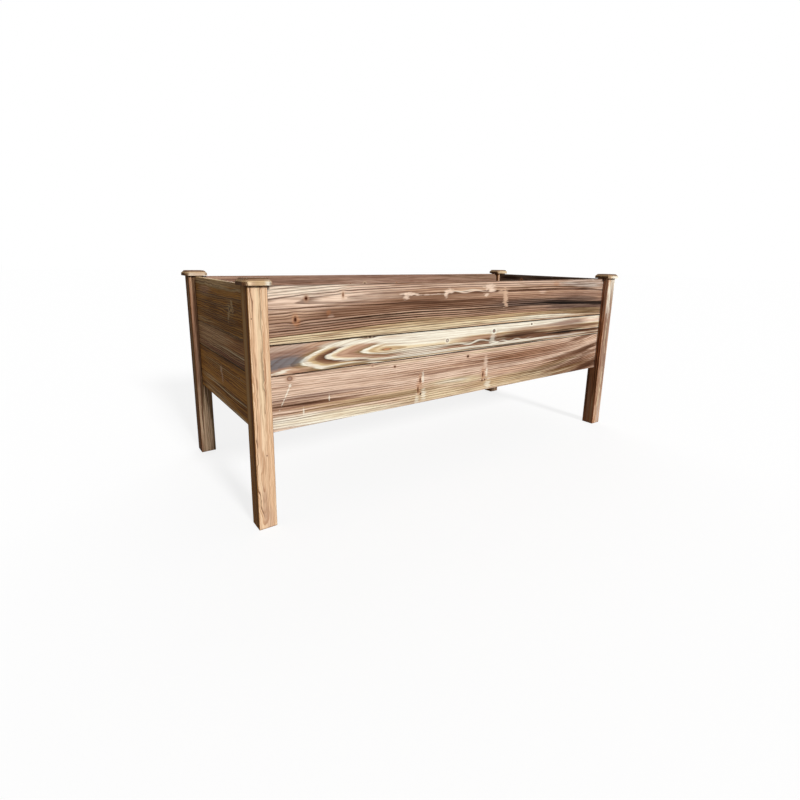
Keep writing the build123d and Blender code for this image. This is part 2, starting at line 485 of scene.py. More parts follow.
topSeam, lowSeam, rim, underEdge = 569.0, 475.0, 744.0, 299.0
# the dark ends by the posts are joint lines with painted shade, widest where the boards meet the front-right
# post
frontWood = {"face": -361, "ends": [(-856.5, 2.5, bark, 0.6), (856.5, 7, char, 0.7)]}
frontTop = lookOf(
    frontWood, seed=3, bows=[(-200, -1, -4.2e-05), (300, 1, -4.5e-05)], heart=705, eye=-300, open=(0.035, 0),
    shallow=6, wander=11, lines=(7.6, bark, 0.9), woods=(tan, clay),
    seams=[(topSeam, 3, char, 0.95), (rim, 2.5, bark, 0.7)],
    ripples=[(blush, -48, 707, 100, 2.6, 0.8, 3, 120), (cream, -70, 711, 74, 1.8, 0.6, 2.5, 150)],
    strokes=[
        (blush, -710, 714, 310, 46, 1), (umber, -230, 692, 230, 9, 0.8), (cream, -780, 726, 220, 20, 0.5),
        (blush, 60, 733, 700, 11, 0.6), (blush, -815, 692, 100, 26, 1), (mauve, -770, 624, 180, 22, 0.4),
        (umber, -430, 660, 420, 15, 0.7), (umber, -40, 664, 380, 15, 0.7), (bark, -160, 675, 300, 9, 0.8),
        (bark, -480, 634, 330, 5, 0.8), (umber, 60, 636, 300, 7, 0.7), (umber, -640, 683, 170, 4, 0.6),
        (umber, -440, 710, 120, 10, 0.7), (bark, -420, 698, 160, 4, 0.5), (clay, -130, 620, 430, 8, 0.5),
        (straw, -150, 603, 800, 11, 0.8), (sap, -180, 583, 820, 17, 0.97), (sap, -790, 582, 140, 11, 0.85),
        (smoke, 340, 648, 290, 21, 0.85), (smoke, 660, 622, 270, 16, 0.85), (char, 700, 636, 310, 13, 0.97),
        (char, 490, 645, 220, 7, 0.75), (smoke, 690, 656, 220, 10, 0.8), (clay, 470, 693, 340, 16, 0.6),
        (bark, 330, 712, 300, 3, 0.8), (bark, 740, 702, 80, 4, 0.8), (ash, 740, 728, 160, 18, 1),
        (blush, 720, 736, 170, 7, 0.6), (ash, 660, 716, 130, 10, 0.8), (blush, 800, 693, 90, 9, 0.7),
        (mauve, 690, 676, 250, 10, 0.5), (drab, 720, 600, 250, 13, 0.85), (drab, 740, 582, 170, 9, 0.45),
        (cream, 370, 579, 220, 9, 0.7), (rust, 485, 727, 24, 10, 0.4), (blush, 392, 696, 26, 8, 0.65),
        (tan, -800, 660, 110, 20, 0.5), (rust, -760, 632, 12, 20, 0.45), (rust, -654, 657, 9, 9, 0.55),
        (blush, -646, 648, 12, 5, 0.4),
    ],
    burns=[
        (char, -120, 634, 460, 24, 0.75), (char, 460, 648, 320, 18, 0.85), (bark, -560, 620, 280, 22, 0.55),
    ],
    tears=[
        (blush, -338, 706, 36, 5.5, 0.85), (blush, -352, 697, 14, 11, 0.75), (blush, -158, 711, 23, 9, 0.75),
        (blush, -170, 699, 8, 12, 0.7), (blush, -245, 701, 70, 2, 0.6), (blush, 64, 722, 30, 12, 0.75),
        (blush, 70, 708, 34, 6, 0.85), (blush, 44, 692, 12, 6, 0.7), (tan, 156, 676, 14, 36, 0.85, -0.1),
        (tan, 132, 703, 28, 5, 0.7),
    ],
    knots=[
        (-729, 704, 6, 7, resin, umber, clay, 0.7), (-602, 711, 4, 9, umber, clay, tan, 0.6),
        (-766, 642, 6, 10, resin, umber, rust, 0.45),
    ],
)
frontMiddle = lookOf(
    frontWood, seed=7, heart=520, bows=[(-520, -1, -0.0002)], above=0.58, below=0.82,
    fold=(-690, -560, 0.46), point=1.5, eye=-435, open=(0.1, 0.03), closeRight=3, shallow=9, wander=10,
    lines=(4, clay, 0.45), comb=40, stagger=4, fibre=0.3, bristle=0.25, ringFray=2.6,
    seams=[(topSeam, 3, char, 0.95), (lowSeam, 2.6, char, 0.9)],
    ripples=[(cream, -10, 507, 105, 3.2, 0.65, 6, 135), (cream, 210, 496, 120, 2.6, 0.5, 3, 90)],
    burns=[(umber, -240, 500, 330, 20, 0.6), (bark, 250, 510, 420, 22, 0.5), (bark, 700, 510, 170, 26, 0.45)],
    tears=[(cream, 94, 514, 16, 22, 0.4, 0.2), (cream, 104, 496, 26, 5, 0.6)],
    ringStops=[
        (8.5, umber), (9.4, clay), (10.6, straw), (12.4, sap), (15, straw), (16.6, sap), (17.8, cream),
        (19.2, cream), (20.1, drab), (23, clay), (28, tan), (29.8, sap), (30.6, cream), (32, cream),
        (32.9, bark), (34.8, umber), (37.6, straw), (39, cream), (40.4, cream), (41.4, drab), (46, clay),
    ],
    strokes=[
        (ash, -810, 558, 120, 10, 0.5), (mauve, -810, 538, 100, 14, 0.85), (slate, -815, 513, 72, 19, 0.85),
        (tan, -690, 562, 60, 6, 0.6), (cream, -560, 557, 130, 10, 0.8), (cream, -420, 548, 100, 8, 0.7),
        (drab, -585, 483, 100, 4, 0.7), (tan, -780, 484, 80, 5, 0.7), (cream, -835, 482, 45, 4, 0.8),
        (cream, 70, 556, 580, 17, 0.97), (cream, -240, 537, 210, 15, 0.9), (cream, -270, 510, 190, 5, 0.7),
        (umber, -280, 502, 240, 1.6, 0.4), (cream, -560, 500, 60, 3, 0.6), (sap, -120, 514, 90, 4, 0.6),
        (drab, -330, 484, 280, 2.2, 0.8), (cream, -230, 489, 280, 5, 0.9), (cream, -280, 499, 120, 5, 0.75),
        (clay, 40, 520, 150, 12, 0.9), (umber, 60, 511, 90, 11, 0.85), (clay, 400, 533, 230, 12, 0.7),
        (bark, 290, 513, 190, 16, 0.97), (char, 320, 508, 140, 7, 0.7), (umber, 470, 504, 230, 14, 0.85),
        (char, 600, 502, 230, 6, 0.95), (mauve, 620, 545, 160, 16, 0.8), (umber, 640, 523, 160, 8, 0.85),
        (bark, 590, 515, 130, 3, 0.7), (cream, 470, 562, 130, 6, 0.9), (ash, 560, 488, 180, 4, 0.7),
        (umber, 210, 499, 230, 7, 0.7), (cream, 230, 488, 260, 3.6, 0.8), (char, 210, 479, 280, 1.8, 0.8),
        (blush, 790, 549, 95, 12, 0.95), (cream, 800, 557, 50, 7, 0.6), (umber, 770, 525, 120, 7, 0.9),
        (tan, 780, 512, 70, 6, 0.8), (bark, 770, 499, 120, 5, 0.85), (umber, 800, 484, 80, 6, 0.7),
    ],
    knots=[
        (-500, 567, 6, 3, char, bark, sap, 0.3), (-432, 519, 22, 3.5, rust, umber, straw, 0.5),
        (-153, 525, 7, 6.5, ash, bark, cream, 0.6), (100, 543, 8, 7, mauve, char, cream, 0.6),
        (335, 556, 6, 4.5, char, umber, cream, 0.9),
    ],
)
frontBottom = lookOf(
    frontWood, seed=11, heart=180, bows=[(350, 1, 0.00016), (-200, -1, 3e-05)], shallow=30,
    lines=(7.6, umber, 0.85), woods=(blush, tan), seams=[(lowSeam, 2.6, char, 0.9)],
    burns=[(bark, 330, 420, 340, 34, 0.45), (bark, 560, 350, 330, 40, 0.35), (umber, -40, 420, 240, 30, 0.2)],
    strokes=[
        (blush, -320, 450, 560, 24, 0.8), (clay, -120, 404, 520, 7, 0.5), (umber, -790, 373, 160, 15, 0.75),
        (clay, -700, 362, 190, 12, 0.75), (mauve, -720, 395, 190, 6, 0.7), (bark, -710, 373, 160, 5, 0.8),
        (umber, -600, 372, 110, 5, 0.7), (blush, -230, 384, 260, 9, 0.7), (straw, -480, 350, 280, 10, 0.65),
        (drab, -430, 344, 260, 5, 0.7), (cream, -690, 318, 290, 25, 0.97), (sap, -180, 322, 200, 20, 0.8),
        (sap, -90, 359, 150, 18, 1), (cream, -110, 362, 90, 8, 0.6), (blush, 160, 384, 130, 8, 0.6),
        (straw, 200, 325, 250, 23, 0.8), (sap, 390, 325, 230, 9, 0.7), (drab, 400, 344, 190, 9, 0.7),
        (clay, -330, 410, 300, 5, 0.5), (umber, 250, 424, 190, 13, 0.85), (clay, 430, 428, 260, 14, 0.75),
        (clay, 260, 402, 260, 10, 0.9), (clay, 100, 441, 120, 7, 0.6), (umber, 690, 396, 220, 13, 0.9),
        (bark, 760, 404, 110, 6, 0.8), (umber, 640, 378, 160, 9, 0.75), (drab, 540, 360, 190, 10, 0.75),
        (umber, 680, 345, 190, 17, 0.9), (clay, 810, 364, 60, 9, 0.8), (olive, 600, 314, 230, 20, 0.8),
        (umber, 780, 318, 130, 24, 0.95), (bark, 805, 325, 90, 13, 0.85), (bark, 720, 305, 150, 8, 0.7),
        (umber, 790, 382, 80, 10, 0.8), (clay, 520, 406, 180, 7, 0.6), (umber, 730, 464, 180, 9, 0.85),
        (sap, 200, 464, 270, 6, 0.5), (rust, -282, 368, 14, 34, 0.3), (rust, 54, 372, 15, 32, 0.3),
        (rust, 170, 432, 440, 24, 0.25), (rust, 330, 362, 330, 16, 0.2), (sap, -560, 326, 170, 9, 0.6),
        (sap, -450, 308, 420, 9, 0.6), (sap, 150, 307, 420, 8, 0.6), (sap, -330, 466, 330, 6, 0.35),
        (blush, -620, 424, 280, 11, 0.5),
    ],
    tears=[
        (cream, -267, 396, 5, 21, 0.5), (cream, -262, 328, 11, 24, 0.45), (cream, -294, 318, 9, 18, 0.35),
        (blush, 62, 411, 11, 30, 0.5), (cream, 70, 376, 6, 22, 0.5), (cream, 80, 322, 17, 19, 0.45),
        (cream, -803, 412, 2.4, 30, 0.55, 0.5), (cream, -790, 440, 5, 4, 0.6),
        (cream, -656, 380, 2.4, 10, 0.55), (cream, -747, 350, 3, 11, 0.55),
    ],
    knots=[
        (-790, 462, 9, 7, mauve, umber, clay, 0.6), (-396, 452, 5, 4, resin, umber, clay, 0.6),
        (-490, 468, 6, 5, mauve, clay, tan, 0.4), (-41, 452, 6, 5, resin, bark, clay, 0.6),
        (-280, 387, 3.5, 12, resin, umber, rust, 0.3), (-289, 352, 3.5, 13, bark, umber, rust, 0.3),
        (-277, 334, 3.5, 6, char, umber, clay, 0.3), (49, 367, 4, 13, resin, umber, rust, 0.3),
        (46, 341, 5, 5, char, umber, clay, 0.3), (60, 343, 4, 4, bark, umber, clay, 0.3),
    ],
)

levels = {"top": (topSeam, rim), "middle": (lowSeam, topSeam), "bottom": (underEdge, lowSeam)}
levelSeams = {
    "top": [(topSeam, 3, char, 0.95), (rim, 3, umber, 0.5)],
    "middle": [(topSeam, 3, char, 0.95), (lowSeam, 2.8, char, 0.95)], "bottom": [(lowSeam, 2.8, char, 0.95)],
}

# the left end boards take darker, warmer tones than the front: scorch, and partly painted shade of the side
# the key light misses; their dark ends by the posts are joint lines with painted shade
leftWood = {"grain": "YZX", "face": -890.5, "ends": [(-327, 5, char, 0.8), (327, 5, char, 0.8)]}
leftTop = lookOf(
    leftWood, seed=31, heart=470, shallow=20, wander=26, waver=10, lines=(8, umber, 0.85),
    woods=(ochre, drab), burns=[(bark, 0, 630, 330, 60, 0.55)],
    # the sap seam just above the rim is a painted highlight along the lit top edge
    seams=[(topSeam, 2, bark, 0.45), (rim + 1, 1.8, sap, 0.7)],
    tears=[(straw, -150, 672, 10, 18, 0.5, 0.3), (straw, -108, 632, 9, 16, 0.5, -0.3)],
    knots=[(-122, 657, 6, 7, resin, bark, straw, 0.5), (-156, 655, 4, 5, bark, umber, straw, 0.4)],
    strokes=[
        (straw, 0, 732, 340, 13, 0.8), (tan, 190, 703, 90, 13, 0.6), (olive, 85, 637, 70, 17, 0.9),
        (olive, -220, 672, 90, 16, 0.7), (bark, 0, 611, 300, 8, 0.6), (honey, -250, 622, 70, 14, 0.8),
        (straw, 210, 585, 150, 10, 0.55), (straw, -128, 655, 40, 30, 0.4), (olive, 230, 652, 90, 8, 0.5),
        (olive, -200, 590, 110, 9, 0.6), (honey, 0, 640, 600, 76, 0.35),
    ],
)
leftMiddle = lookOf(
    leftWood, seed=33, heart=430, shallow=20, waver=8, woods=(drab, straw),
    seams=[(topSeam, 2, bark, 0.4), (lowSeam, 2.4, char, 0.8)], burns=[(bark, -60, 495, 300, 26, 0.6)],
    ripples=[(sap, -150, 513, 190, 1.8, 0.7, 2, 420), (straw, 240, 512, 90, 1.6, 0.5, 1.5, 300)],
    knots=[(120, 530, 4, 4, bark, umber, straw, 0.4)],
    strokes=[
        (amber, -200, 540, 150, 22, 0.7), (olive, -240, 557, 100, 13, 0.6), (umber, 0, 488, 340, 10, 0.85),
        (bark, 250, 504, 110, 4, 0.6), (bark, -190, 485, 160, 6, 0.7), (char, -200, 477, 170, 2.4, 0.8),
        (straw, 110, 540, 230, 16, 0.6), (rust, 0, 520, 600, 60, 0.35),
    ],
)
leftBottom = lookOf(
    leftWood, seed=35, heart=180, shallow=30, wander=22, waver=8, lines=(8, umber, 0.85),
    woods=(ochre, amber), seams=levelSeams["bottom"],
    burns=[(char, -120, 354, 240, 14, 0.75), (bark, 0, 425, 330, 30, 0.5)],
    tears=[(tan, 22, 424, 13, 15, 0.6), (tan, 14, 398, 8, 18, 0.5)],
    knots=[(-190, 440, 5, 4, resin, umber, amber, 0.4)],
    strokes=[
        (olive, 0, 465, 330, 8, 0.7), (bark, 260, 460, 80, 9, 0.5), (straw, 220, 364, 140, 9, 0.85),
        (straw, -120, 354, 200, 5, 0.7), (straw, 180, 331, 160, 6, 0.7), (bark, 290, 317, 60, 7, 0.85),
        (straw, 60, 314, 190, 9, 0.75), (bark, -220, 325, 100, 11, 0.75), (sap, -150, 302, 170, 3, 0.7),
        (drab, 40, 430, 150, 12, 0.4), (ochre, 20, 385, 600, 76, 0.35),
    ],
    ripples=[
        (bark, -120, 363, 220, 2.2, 0.95, 2, 330), (resin, -40, 345, 290, 2.6, 0.95, 2.5, 380),
        (sap, 0, 355, 300, 2, 0.6, 2.2, 350), (straw, 20, 436, 300, 1.3, 0.6, 2, 400),
        (bark, 190, 322, 130, 2.4, 0.8, 2, 260),
    ],
)


def freeLook(level, seed, grain, face, halfRun, inside):
    # boards that the photograph hardly shows get their own grain, scorch and knots
    draw = random.Random(seed)
    low, high = levels[level]
    strokes = []
    for tone in (blush, sap, umber, clay, straw, bark, sap, mauve, umber, char, drab):
        thin = 0.4 if tone in (char, bark) else 1.0
        strokes.append((
            tone, draw.uniform(-0.85, 0.85) * halfRun, draw.uniform(low + 8, high - 8),
            draw.uniform(0.2, 0.55) * halfRun, draw.uniform(6, 20) * thin, draw.uniform(0.6, 0.95),
        ))
    knots = []
    for core, halo in ((resin, rust), (resin, clay), (bark, clay), (char, sap)):
        size = draw.uniform(3.5, 7)
        spot = (draw.uniform(-0.85, 0.85) * halfRun, draw.uniform(low + 14, high - 14))
        knots.append((*spot, size, size * draw.uniform(0.9, 1.6), core, umber, halo, draw.uniform(0.3, 0.6)))
    return lookOf(
        # inside is a layer on the inner face: a darker tone on the back, painted shade on the right end
        grain=grain, seed=seed, face=face, seams=levelSeams[level], layers=[inside],
        heart=draw.choice((low - 120, low + 30, (low + high) / 2)),
        eye=draw.uniform(-0.5, 0.5) * halfRun, open=(draw.uniform(0.05, 0.09), draw.uniform(0.05, 0.09)),
        shallow=draw.uniform(6, 20), lines=(draw.uniform(6, 8.5), umber, 0.85),
        woods=(draw.choice((tan, blush)), draw.choice((clay, tan))), strokes=strokes, knots=knots,
        # dark ends by the posts: joint lines with painted shade
        ends=[(side * (halfRun - 11), 6, char, 0.8) for side in (-1, 1)],
    )


wallPlans = {
    "front": {"run": 0, "seed": 20, "looks": (frontTop, frontMiddle, frontBottom)},
    "left_end": {"run": 1, "seed": 60, "looks": (leftTop, leftMiddle, leftBottom)},
    "back": {"run": 0, "seed": 40, "free": ("XZY", 361, 868, (352, 346, mauve, 0.6))},
    # the right end's inner face is painted char: painted shade on a face the key light misses
    "right_end": {"run": 1, "seed": 80, "free": ("YZX", 890.5, 338, (882, 876, char, 0.8))},
}

for wall, plan in wallPlans.items():
    for number, level in enumerate(levels):
        node = f"{wall}_board_{level}"
        seed = plan["seed"] + number
        look = plan["looks"][number] if "looks" in plan else freeLook(level, seed, *plan["free"])
        board = makeBoard(node, plan["run"], level, seed * 0.37)
        settle(board, node, woodFinish(node + "_char", look))
    print("wall done:", wall)


# Posts
postShape = {
    "grooveDeep": 12 * mm, "grooveWide": 19.5 * mm, "lip": 15 * mm, "wallFoot": 299 * mm,
    "wallHead": 745 * mm, "edgeEase": 2.0 * mm, "footEase": 1.6 * mm, "footClear": 4 * mm, "cutUp": 24 * mm,
    "cutAcross": 4.5 * mm, "relief": (0.8 * mm, 220 * mm, 8 * mm),
}


def makePost(corner, sideX, sideY, shift):
    shape = postShape
    low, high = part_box("post_" + corner)
    piece = startBlock(f"post_{corner}_wood", low, high)

    def grooveSpan(axis, side):
        inner = (high if side < 0 else low)[axis] + side * shape["lip"]
        return sorted((inner, inner + side * shape["grooveWide"]))

    def inWall(c):
        return shape["wallFoot"] < c.z < shape["wallHead"]

    wideX = grooveSpan(0, sideX)
    wideY = grooveSpan(1, sideY)
    editMode(piece)
    pickEdges(piece, lambda c, d: abs(d.z) > 0.99)
    easeEdges(shape["edgeEase"], 3)
    pickEdges(piece, lambda c, d: abs(c.z - low.z) < near)
    easeEdges(shape["footEase"], 2)
    cutAt(2, [shape["wallFoot"], shape["wallHead"]])
    cutAt(0, wideX)
    cutAt(1, wideY)
    pickFaces(piece, lambda c, n: n.x * -sideX > 0.9 and wideY[0] < c.y < wideY[1] and inWall(c))
    push(sideX * shape["grooveDeep"], 0, 0)
    pickFaces(piece, lambda c, n: n.y * -sideY > 0.9 and wideX[0] < c.x < wideX[1] and inWall(c))
    push(0, sideY * shape["grooveDeep"], 0)
    cutEvenly(2, low.z + shape["footClear"], high.z, shape["cutUp"])
    for axis in (0, 1):
        cutEvenly(axis, low[axis] + shape["edgeEase"], high[axis] - shape["edgeEase"], shape["cutAcross"])
    objectMode()
    brushRelief(piece, 2, shape, shift)
    return piece


# places along a post are heights
# the dark end at 747 is painted shade under the cap; the post is also darker at its foot
postWood = {"grain": "ZXY", "stagger": 5, "ends": [(747, 6, bark, 0.7), (0, 5, umber, 0.6)]}
frontLeftPost = lookOf(
    postWood, seed=101, face=-385, heart=-893, eye=150, open=(0.12, 0.03), closeRight=9, shallow=5,
    lines=(4.4, clay, 0.52), woods=(peach, wheat), bristle=0.25, fibre=0.4, comb=60, waver=15,
    marks=[(18, 1.2, umber, 0.9)],
    # the honey and bark seams at -914.5 darken the left face: scorch tone and painted shade of the side the
    # key light misses; the bark seam at -856.5 is painted shade where the boards meet the post
    seams=[(-914.5, 2.6, honey, 0.95), (-914.5, 1.3, bark, 0.4), (-856.5, 1.6, bark, 0.7)],
    knots=[(655, -906, 2, 2, bark, umber, wheat, 0.3), (240, -880, 3, 2.4, umber, clay, tan, 0.3)],
    strokes=[
        (sap, 620, -884, 200, 10, 0.4), (sap, 430, -886, 110, 9, 0.35), (wheat, 520, -905, 200, 5, 0.8),
        (rust, 560, -872, 120, 3, 0.4), (wheat, 300, -872, 150, 6, 0.7), (rust, 290, -900, 90, 4, 0.4),
        (wheat, 120, -880, 130, 16, 0.6), (clay, 90, -893, 60, 7, 0.6), (tan, 30, -880, 40, 16, 0.6),
    ],
    flanks=[
        (ochre, 380, -335, 900, 30, 0.35), (straw, 520, -346, 300, 12, 0.35),
        (bark, 380, -374, 420, 6, 0.75), (umber, 120, -350, 150, 8, 0.6),
    ],
)
frontRightPost = lookOf(
    postWood, seed=103, face=-385, heart=870, eye=380, open=(0.05, 0.05), shallow=8, lines=(4.6, clay, 0.7),
    # the mahogany seam at 856.5 paints the left face dark red-brown: scorch tone and painted shade of the
    # side the key light misses
    woods=(tan, wheat), waver=8, seams=[(856.5, 2.6, mahogany, 0.85), (914.5, 1.6, umber, 0.3)],
    knots=[(410, 893, 3, 3, bark, umber, clay, 0.4)],
    strokes=[
        (cream, 690, 888, 130, 40, 1), (clay, 660, 860, 200, 5, 0.7), (peach, 520, 892, 120, 14, 0.6),
        (mauve, 470, 886, 190, 26, 0.85), (umber, 420, 868, 180, 6, 0.7), (mauve, 300, 900, 110, 8, 0.7),
        (mauve, 190, 886, 130, 30, 0.5), (clay, 130, 872, 70, 8, 0.6), (ash, 60, 895, 90, 12, 0.6),
    ],
    tears=[
        (sap, 480, 884, 60, 3, 0.7), (sap, 250, 892, 70, 4, 0.7), (sap, 120, 884, 40, 5, 0.6),
        (umber, 560, 862, 80, 4, 0.7), (umber, 220, 864, 90, 4, 0.6), (cream, 620, 888, 8, 12, 0.5, -3),
        (umber, 540, 886, 6, 12, 0.4, -3), (sap, 400, 890, 7, 12, 0.5, -3),
        (umber, 330, 886, 6, 12, 0.5, -3), (sap, 180, 888, 7, 12, 0.5, -3),
        (umber, 100, 890, 6, 12, 0.4, -3),
    ],
    flanks=[
        (char, 470, -369, 330, 2, 0.8), (rust, 620, -363, 160, 3, 0.5), (tan, 650, -377, 150, 5, 0.75),
        (bark, 280, -380, 150, 3, 0.7), (clay, 110, -350, 140, 8, 0.5), (straw, 70, -371, 90, 5, 0.5),
        (char, 180, -336, 160, 6, 0.6),
    ],
)
backLeftPost = lookOf(
    postWood, seed=105, face=385, heart=-880, eye=420, open=(0.05, 0.05), shallow=10, lines=(5, umber, 0.85),
    # the honey and bark seams at -914.5 darken the left face: scorch tone and painted shade of the side the
    # key light misses
    woods=(clay, drab), waver=8, seams=[(-914.5, 2.6, honey, 0.95), (-914.5, 1.6, bark, 0.75)],
    flanks=[(char, 380, 380, 420, 4, 0.8), (drab, 480, 350, 280, 9, 0.6), (bark, 200, 362, 220, 3, 0.7)],
    knots=[(330, -890, 3, 3, bark, umber, clay, 0.4)],
    strokes=[
        # the peach stroke low on the front is painted light, lifting the part that the front wall and
        # front-left post shade
        (wheat, 690, -909, 120, 2.6, 0.95), (bark, 600, -893, 240, 15, 0.8), (peach, 100, -886, 160, 26, 1),
        (umber, 180, -900, 180, 3, 0.9), (umber, 240, -872, 130, 3, 0.8), (clay, 430, -908, 150, 4, 0.7),
    ],
)
backRightPost = lookOf(
    postWood, seed=107, face=385, heart=890, eye=300, open=(0.05, 0.06), shallow=9, lines=(5, umber, 0.85),
    # the amber seam at 856.5 darkens the left face: scorch tone and painted shade of the side the key light
    # misses
    woods=(tan, wheat), seams=[(856.5, 2.6, amber, 0.9)], knots=[(520, 888, 4, 4, resin, umber, rust, 0.4)],
    strokes=[
        (clay, 600, 880, 180, 8, 0.7), (umber, 350, 896, 160, 4, 0.7), (sap, 180, 882, 150, 8, 0.7),
        (clay, 90, 900, 80, 5, 0.6),
    ],
)

corners = {
    "front_left": (-1, -1, frontLeftPost), "front_right": (1, -1, frontRightPost),
    "back_left": (-1, 1, backLeftPost), "back_right": (1, 1, backRightPost),
}
for number, (corner, (sideX, sideY, look)) in enumerate(corners.items()):
    post = makePost(corner, sideX, sideY, number * 0.61)
    settle(post, "post_" + corner, woodFinish(f"post_{corner}_grain", look))
print("posts done")


# Post caps
capShape = {
    "clip": 13 * mm, "bevel": 10 * mm, "soften": 0.8 * mm, "cut": 6 * mm,
    "relief": (0.5 * mm, 120 * mm, 9 * mm),
}


def makeCap(corner, shift):
    shape = capShape
    low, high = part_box("cap_" + corner)
    piece = startBlock(f"cap_{corner}_wood", low, high)
    editMode(piece)
    pickEdges(piece, lambda c, d: abs(d.z) > 0.99)
    easeEdges(shape["clip"], 1)
    pickEdges(piece, lambda c, d: abs(c.z - high.z) < near)
    easeEdges(shape["bevel"], 1)
    pickAll("EDGE")
    easeEdges(shape["soften"], 2)
    for axis in (0, 1):
        cutEvenly(axis, low[axis], high[axis], shape["cut"])
    objectMode()
    brushRelief(piece, 0, shape, shift)
    return piece


# left faces of the caps are painted darkest, as painted shade of the side the key light misses
capLeft, capRight = -928.5, 842.5
capLook = lookOf(
    grain="XYZ", seed=131, face=747, heart=-300, lines=(4.5, umber, 0.9), woods=(sap, peach), wander=14,
    shallow=18, stagger=4, flanks=[(bark, -885, 764.6, 60, 1.2, 0.7), (bark, 885, 764.6, 60, 1.2, 0.7)],
    layers=[(756.6, 757.6, straw, 0.6), (758, 766.5, umber, 0.8)],
    ends=[
        (capLeft, 18, olive, 0.9), (capLeft, 14, bark, 0.75), (capRight, 7, olive, 0.85),
        (capRight, 5, bark, 0.7),
    ],
    strokes=[
        (clay, -895, -399, 12, 5, 0.6), (straw, -880, -399, 20, 6, 0.7), (cream, -856, -392, 12, 10, 0.9),
        (umber, -885, -372, 60, 20, 0.45), (ash, -885, 320, 50, 40, 0.6), (clay, 880, -399, 20, 5, 0.5),
        (cream, 896, -397, 34, 13, 0.95), (clay, -880, 312, 20, 5, 0.3),
    ],
)
capFinish = woodFinish("cap_grain", capLook)
for number, corner in enumerate(corners):
    settle(makeCap(corner, number * 0.23), "cap_" + corner, capFinish)
print("caps done")


# Floor slats, cleats and battens, in plain sawn softwood
sawnShape = {
    "ease": 1.5 * mm, "cutAlong": 45 * mm, "cutAcross": 9 * mm, "relief": (0.5 * mm, 180 * mm, 12 * mm),
}


def makeSawn(node, run, shift):
    shape = sawnShape
    low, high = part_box(node)
    piece = startBlock(node + "_wood", low, high)
    editMode(piece)
    pickAll("EDGE")
    easeEdges(shape["ease"], 2)
    for axis in range(3):
        step = shape["cutAlong"] if axis == run else shape["cutAcross"]
        cutEvenly(axis, low[axis] + 2 * shape["ease"], high[axis] - 2 * shape["ease"], step)
    objectMode()
    brushRelief(piece, run, shape, shift)
    return piece


slatNodes = [f"floor_slat_{number:02d}" for number in range(1, 15)]
slatBoxes = [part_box(node) for node in slatNodes]
firstLow, firstHigh = slatBoxes[0]
slatStep = slatBoxes[1][0].x - firstLow.x
slatStart = (firstLow.x + firstHigh.x - slatStep) / 2
slatMiddle = (firstLow.x + firstHigh.x) * 500


def sawnKnots(seed, low, high, middle, spread):
    draw = random.Random(seed)
    knots = []
    for count in range(7):
        size = draw.uniform(4, 8)
        spot = (draw.uniform(low, high), middle + draw.uniform(-spread, spread))
        knots.append((*spot, size, size * draw.uniform(0.8, 1.3), resin, umber, rust, draw.uniform(0.3, 0.6)))
    return knots


cleatWood = {"shallow": 8, "lines": (5.5, straw, 0.85), "woods": (straw, tan), "stagger": 4}
sawnLooks = {
    "slat": lookOf(
        grain="YXZ", seed=201, face=362, pitch=(slatStart * 1000, slatStep * 1000), shuffle=900, stagger=6,
        heart=slatMiddle + 8, eye=60, open=(0.06, 0.05), shallow=10, lines=(6.5, straw, 0.85),
        woods=(sap, straw), knots=sawnKnots(5, -700, 700, slatMiddle, 40),
        strokes=[(straw, -300, slatMiddle, 260, 18, 0.7), (clay, 260, slatMiddle + 20, 240, 14, 0.6)],
    ),
    "longCleat": lookOf(
        cleatWood, seed=203, heart=318, eye=100, open=(0.02, 0.02), knots=sawnKnots(6, -800, 800, 324, 12),
    ),
    "endCleat": lookOf(
        cleatWood, grain="YZX", seed=205, heart=330, eye=-60, open=(0.03, 0.03),
        knots=sawnKnots(7, -600, 600, 324, 12),
    ),
    "batten": lookOf(
        grain="ZXY", seed=207, heart=6, eye=500, open=(0.07, 0.05), shallow=8, lines=(6, straw, 0.85),
        woods=(tan, straw), stagger=5, knots=sawnKnots(8, 200, 800, 0, 30),
    ),
}
sawnFinishes = {name: woodFinish(name + "_sawn", look) for name, look in sawnLooks.items()}
sawnPlans = {node: (1, "slat") for node in slatNodes}
for side in ("front", "back"):
    sawnPlans["floor_cleat_" + side] = (0, "longCleat")
    sawnPlans["centre_batten_" + side] = (2, "batten")
for side in ("left", "right"):
    sawnPlans["floor_cleat_" + side] = (1, "endCleat")
for number, (node, (run, finish)) in enumerate(sawnPlans.items()):
    settle(makeSawn(node, run, number * 0.19), node, sawnFinishes[finish])
print("floor done")


# Screws and dowels
def steelFinish():
    material, start = newMaterial("screw_zinc")
    shader = start.tree.nodes["Principled BSDF"]
    place = start.node("TexCoord", {}, "Object")
    blotch = start.node("TexNoise", {"Vector": place, "Scale": 900.0, "Detail": 2.0})
    bright = start.node("RGB", {})
    bright.socket.default_value = paint(206, 190, 150)
    bright.toward(blotch.ease(0.45, 0.65, 0.6), paint(150, 140, 120)).into(shader, "Base Color")
    (blotch * 0.3 + 0.25).into(shader, "Roughness")
    shader.inputs["Metallic"].default_value = 1.0
    return material


screwShape = {
    "sides": 12, "headRadius": 4 * mm, "headHigh": 3.5 * mm, "shankRadius": 2.25 * mm, "tipHigh": 5 * mm,
    "tipRadius": 0.4 * mm, "proud": 0.4 * mm, "recessRim": 1.7 * mm, "recessDeep": 2.0 * mm, "lobe": 0.66,
}


def widen(share):
    bpy.ops.transform.resize(value=(share, share, 1))


